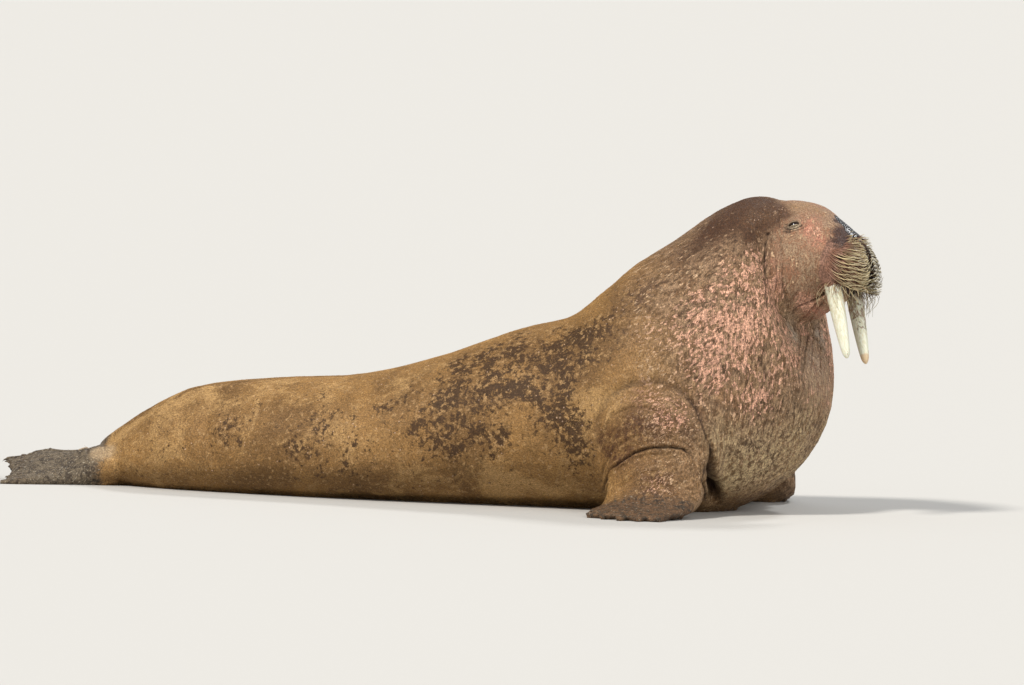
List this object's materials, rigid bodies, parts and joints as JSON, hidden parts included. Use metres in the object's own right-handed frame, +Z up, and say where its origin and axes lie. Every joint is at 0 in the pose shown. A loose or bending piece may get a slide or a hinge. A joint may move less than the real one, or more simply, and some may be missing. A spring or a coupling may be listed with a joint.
{
  "type": "walrus",
  "caption": "Life-size bull walrus resting on its belly, chest raised on its foreflippers, head turned, with tusks and whiskers.",
  "frame": {"origin": "on the floor under the belly, on the body's middle plane", "axes": "+X towards the head along the body, +Y to the animal's left, +Z up"},
  "size_m": [3.4883, 1.732, 1.1909],
  "materials": {
    "hide": "matte, short brown fur over thick skin",
    "chest_hide": "matte, nearly bare wrinkled skin with pink bosses",
    "face_hide": "matte, fine wrinkled skin, glossy dark nose",
    "flipper_hide": "matte, rough bare skin",
    "bristle": "satin horn-like whiskers",
    "ivory": "satin ivory with fine cracks and stains",
    "eye": "glossy dark eye"
  },
  "bodies": {
    "root": {"torso_hind": "hide", "torso_belly": "hide", "torso_chest": "chest_hide", "neck": "chest_hide", "head": "face_hide", "lower_jaw": "face_hide", "muzzle_pad_right": "bristle", "muzzle_pad_left": "bristle", "tusk_right": "ivory", "tusk_left": "ivory", "eye_right": "eye", "eye_left": "eye", "upper_arm_right": "chest_hide", "upper_arm_left": "chest_hide", "foreflipper_right": "flipper_hide", "foreflipper_left": "flipper_hide", "hind_flipper_right": "flipper_hide", "hind_flipper_left": "flipper_hide", "tail": "hide"}
  },
  "joints": []
}
